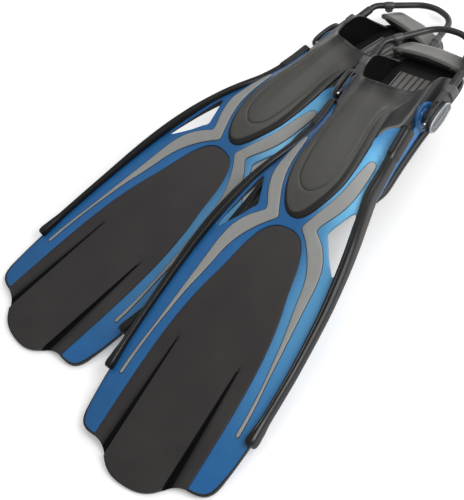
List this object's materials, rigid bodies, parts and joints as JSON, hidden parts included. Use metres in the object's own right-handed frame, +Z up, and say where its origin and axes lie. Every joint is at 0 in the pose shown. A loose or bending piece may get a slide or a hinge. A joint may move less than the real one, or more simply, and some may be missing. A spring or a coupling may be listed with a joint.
{
  "type": "swim fins",
  "caption": "Pair of open-heel diving fins with slotted blades, rubber foot pockets and quick-release bungee heel straps; one lies half over the other.",
  "frame": {"origin": "on the floor under the middle of the pair as it lies", "axes": "+Z up; +Y from the blade tips towards the heels, midway between the two fins; +X towards the wearer's left"},
  "size_m": [0.4883, 0.7338, 0.1175],
  "materials": {
    "blue_plastic": "satin gloss",
    "black_elastomer": "satin",
    "grey_elastomer": "matte",
    "rail_rubber": "satin",
    "pocket_rubber": "satin",
    "instep_rubber": "matte",
    "footbed_rubber": "matte",
    "sole_rubber": "matte",
    "stud_plastic": "satin",
    "buckle_plastic": "satin",
    "pin_steel": "bright",
    "clip_plastic": "satin",
    "sleeve_rubber": "satin",
    "cord_rubber": "satin",
    "strap_rubber": "satin",
    "cover_plastic": "silver satin"
  },
  "bodies": {
    "right_fin": {"right_blade_frame": "blue_plastic", "right_centre_panel": "black_elastomer", "right_stripe_l": "grey_elastomer", "right_stripe_r": "grey_elastomer", "right_rail_l": "rail_rubber", "right_rail_r": "rail_rubber", "right_lower_rail_l": "rail_rubber", "right_lower_rail_r": "rail_rubber", "right_foot_pocket": "pocket_rubber", "right_toe_panel": "instep_rubber", "right_footbed": "footbed_rubber", "right_sole_plate": "sole_rubber", "right_side_arm_l": "blue_plastic", "right_side_arm_r": "blue_plastic", "right_strap_stud_l": "stud_plastic", "right_strap_stud_r": "stud_plastic"},
    "right_strap": {"right_buckle_l": "buckle_plastic", "right_buckle_r": "buckle_plastic", "right_lever_pins": "pin_steel", "right_clip_l": "clip_plastic", "right_clip_r": "clip_plastic", "right_sleeve_l": "sleeve_rubber", "right_sleeve_r": "sleeve_rubber", "right_bungee": "cord_rubber", "right_heel_pad": "strap_rubber"},
    "right_lever_l": {"right_release_lever_l": "cover_plastic"},
    "right_lever_r": {"right_release_lever_r": "cover_plastic"},
    "left_fin": {"left_blade_frame": "blue_plastic", "left_centre_panel": "black_elastomer", "left_stripe_l": "grey_elastomer", "left_stripe_r": "grey_elastomer", "left_rail_l": "rail_rubber", "left_rail_r": "rail_rubber", "left_lower_rail_l": "rail_rubber", "left_lower_rail_r": "rail_rubber", "left_foot_pocket": "pocket_rubber", "left_toe_panel": "instep_rubber", "left_footbed": "footbed_rubber", "left_sole_plate": "sole_rubber", "left_side_arm_l": "blue_plastic", "left_side_arm_r": "blue_plastic", "left_strap_stud_l": "stud_plastic", "left_strap_stud_r": "stud_plastic"},
    "left_strap": {"left_buckle_l": "buckle_plastic", "left_buckle_r": "buckle_plastic", "left_lever_pins": "pin_steel", "left_clip_l": "clip_plastic", "left_clip_r": "clip_plastic", "left_sleeve_l": "sleeve_rubber", "left_sleeve_r": "sleeve_rubber", "left_bungee": "cord_rubber", "left_heel_pad": "strap_rubber"},
    "left_lever_l": {"left_release_lever_l": "cover_plastic"},
    "left_lever_r": {"left_release_lever_r": "cover_plastic"}
  },
  "joints": [
    {"name": "left_fin_lift", "type": "slide", "parent": "right_fin", "child": "left_fin", "axis": [0, 0, 1], "range_m": [0, 0.14]},
    {"name": "right_strap_swing", "type": "hinge", "parent": "right_fin", "child": "right_strap", "pos_m": [-0.06378, 0.22568, 0.03564], "axis": [0.9891, -0.1475, 0], "range_deg": [-3.5, 0]},
    {"name": "right_lever_l_release", "type": "hinge", "parent": "right_strap", "child": "right_lever_l", "pos_m": [-0.00015, 0.20355, 0.03543], "axis": [0.0024, 0.0164, -0.9999], "range_deg": [0, 25], "stiffness_Nm_per_rad": 0.08, "springref_deg": -8.59},
    {"name": "right_lever_r_release", "type": "hinge", "parent": "right_strap", "child": "right_lever_r", "pos_m": [-0.1311, 0.22308, 0.03543], "axis": [-0.0024, -0.0164, 0.9999], "range_deg": [0, 25], "stiffness_Nm_per_rad": 0.08, "springref_deg": -8.59},
    {"name": "left_strap_swing", "type": "hinge", "parent": "left_fin", "child": "left_strap", "pos_m": [0.06163, 0.17845, 0.07325], "axis": [0.9878, 0.1552, -0.0161], "range_deg": [-1.5, 85]},
    {"name": "left_lever_l_release", "type": "hinge", "parent": "left_strap", "child": "left_lever_l", "pos_m": [0.12894, 0.17642, 0.07113], "axis": [-0.029, 0.0809, -0.9963], "range_deg": [0, 25], "stiffness_Nm_per_rad": 0.08, "springref_deg": -8.59},
    {"name": "left_lever_r_release", "type": "hinge", "parent": "left_strap", "child": "left_lever_r", "pos_m": [-0.00184, 0.15587, 0.07326], "axis": [0.029, -0.0809, 0.9963], "range_deg": [0, 25], "stiffness_Nm_per_rad": 0.08, "springref_deg": -8.59}
  ]
}
